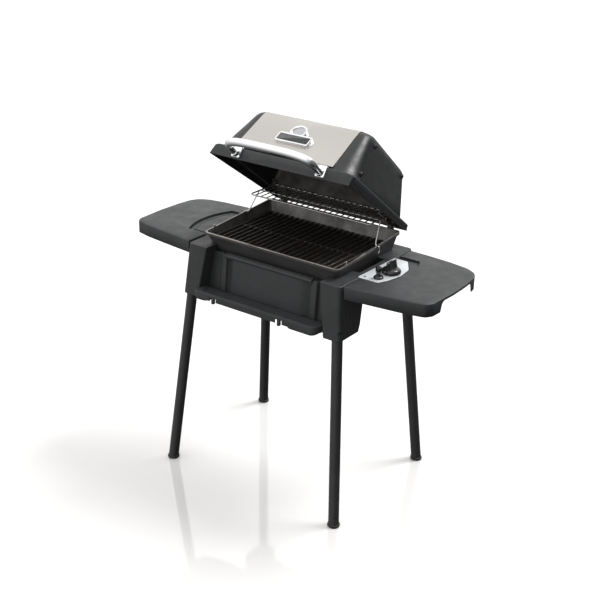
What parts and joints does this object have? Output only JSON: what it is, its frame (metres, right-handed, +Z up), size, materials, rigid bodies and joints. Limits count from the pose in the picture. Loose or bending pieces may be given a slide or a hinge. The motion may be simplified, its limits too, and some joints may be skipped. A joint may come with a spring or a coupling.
{
  "type": "portable gas grill",
  "caption": "Portable gas barbecue grill with a hinged lid, fire box, grids and warming rack on a moulded base with splayed tube legs and side shelves.",
  "frame": {"origin": "on the floor at the middle of the four feet", "axes": "+Z up, -Y towards the cook, +X towards the shelf with the gas control"},
  "size_m": [1.082, 0.518, 1.1132],
  "materials": {
    "black_plastic": "fine-grained charcoal moulding",
    "cast_black": "black textured powder coat on cast aluminium",
    "stainless": "fine brushed, warm grey",
    "chrome": "polished",
    "cast_iron": "seasoned matt black",
    "steel": "plain mill finish",
    "brass": "machined",
    "knob_plastic": "satin black",
    "ceramic": "glazed off-white ceramic",
    "leg_paint": "semi-gloss black",
    "foot_rubber": "matt black"
  },
  "bodies": {
    "frame": {"base_tub": "black_plastic", "front_ledge": "black_plastic", "side_console_left": "black_plastic", "side_console_right": "black_plastic", "control_plate": "stainless", "valve_body": "brass", "gas_inlet": "brass", "igniter_body": "knob_plastic", "ignition_wire": "knob_plastic", "electrode": "ceramic", "firebox": "cast_black", "hinge_bracket_left": "cast_black", "hinge_bracket_right": "cast_black", "hinge_pin_left": "steel", "hinge_pin_right": "steel", "burner": "steel", "venturi_tube": "steel", "heat_plate": "steel", "cooking_grid_left": "cast_iron", "cooking_grid_right": "cast_iron", "leg_front_left": "leg_paint", "leg_front_right": "leg_paint", "leg_rear_left": "leg_paint", "leg_rear_right": "leg_paint", "foot_front_left": "foot_rubber", "foot_front_right": "foot_rubber", "foot_rear_left": "foot_rubber", "foot_rear_right": "foot_rubber"},
    "lid": {"lid_shell": "cast_black", "lid_end_left": "cast_black", "lid_end_right": "cast_black", "lid_front_panel": "stainless", "nameplate": "chrome", "handle_bar": "chrome", "handle_foot_left": "chrome", "handle_foot_right": "chrome", "lid_hinge_left": "steel", "lid_hinge_right": "steel", "lid_bolt_left_front_top": "steel", "lid_bolt_left_front_low": "steel", "lid_bolt_left_rear_top": "steel", "lid_bolt_right_front_top": "steel", "lid_bolt_right_front_low": "steel", "lid_bolt_right_rear_top": "steel", "rack_bracket_left": "steel", "rack_bracket_right": "steel"},
    "rack_legs": {"rack_leg_left": "chrome", "rack_leg_right": "chrome"},
    "rack": {"warming_rack": "chrome"},
    "side_shelf_left": {"shelf_left": "black_plastic"},
    "side_shelf_right": {"shelf_right": "black_plastic"},
    "knob_stem": {"valve_stem": "brass"},
    "knob": {"control_knob": "knob_plastic"},
    "spark_button": {"igniter_button": "knob_plastic"},
    "drip_tray": {"grease_tray": "steel"},
    "button_front_left": {"leg_button_front_left": "steel"},
    "button_front_right": {"leg_button_front_right": "steel"},
    "button_rear_left": {"leg_button_rear_left": "steel"},
    "button_rear_right": {"leg_button_rear_right": "steel"}
  },
  "joints": [
    {"name": "lid_hinge", "type": "hinge", "parent": "frame", "child": "lid", "pos_m": [0, 0.1877, 0.797], "axis": [-1, 0, 0], "range_deg": [-37.65, 7.35]},
    {"name": "rack_leg_swing", "type": "hinge", "parent": "frame", "child": "rack_legs", "pos_m": [0, 0.043, 0.7842], "axis": [-1, 0, 0], "range_deg": [-18.1, 3.6]},
    {"name": "rack_tilt", "type": "hinge", "parent": "rack_legs", "child": "rack", "pos_m": [0, 0.0848, 0.848], "axis": [-1, 0, 0], "range_deg": [-8.95, 45.6]},
    {"name": "shelf_left_slide", "type": "slide", "parent": "frame", "child": "side_shelf_left", "axis": [-1, 0, 0], "range_m": [0, 0.04]},
    {"name": "shelf_right_slide", "type": "slide", "parent": "frame", "child": "side_shelf_right", "axis": [1, 0, 0], "range_m": [0, 0.04]},
    {"name": "knob_push", "type": "slide", "parent": "frame", "child": "knob_stem", "axis": [0, 0, -1], "range_m": [0, 0.003], "stiffness_N_per_m": 1500, "springref_m": -0.002},
    {"name": "knob_turn", "type": "hinge", "parent": "knob_stem", "child": "knob", "pos_m": [0.327, -0.013, 0.738], "axis": [0, 0, 1], "range_deg": [0, 200]},
    {"name": "igniter_push", "type": "slide", "parent": "frame", "child": "spark_button", "axis": [0, 0, -1], "range_m": [0, 0.006], "stiffness_N_per_m": 800, "springref_m": -0.002},
    {"name": "grease_tray_slide", "type": "slide", "parent": "frame", "child": "drip_tray", "axis": [0, 1, 0], "range_m": [0, 0.25]},
    {"name": "button_front_left_press", "type": "slide", "parent": "frame", "child": "button_front_left", "axis": [0.7071, 0.7071, 0], "range_m": [0, 0.004], "stiffness_N_per_m": 800, "springref_m": -0.001},
    {"name": "button_front_right_press", "type": "slide", "parent": "frame", "child": "button_front_right", "axis": [-0.7071, 0.7071, 0], "range_m": [0, 0.004], "stiffness_N_per_m": 800, "springref_m": -0.001},
    {"name": "button_rear_left_press", "type": "slide", "parent": "frame", "child": "button_rear_left", "axis": [0.7071, -0.7071, 0], "range_m": [0, 0.004], "stiffness_N_per_m": 800, "springref_m": -0.001},
    {"name": "button_rear_right_press", "type": "slide", "parent": "frame", "child": "button_rear_right", "axis": [-0.7071, -0.7071, 0], "range_m": [0, 0.004], "stiffness_N_per_m": 800, "springref_m": -0.001}
  ],
  "couplings": [
    {"joint": "rack_leg_swing", "follows": "lid_hinge", "ratio": 0.48},
    {"joint": "rack_tilt", "follows": "lid_hinge", "ratio": -1.21}
  ]
}
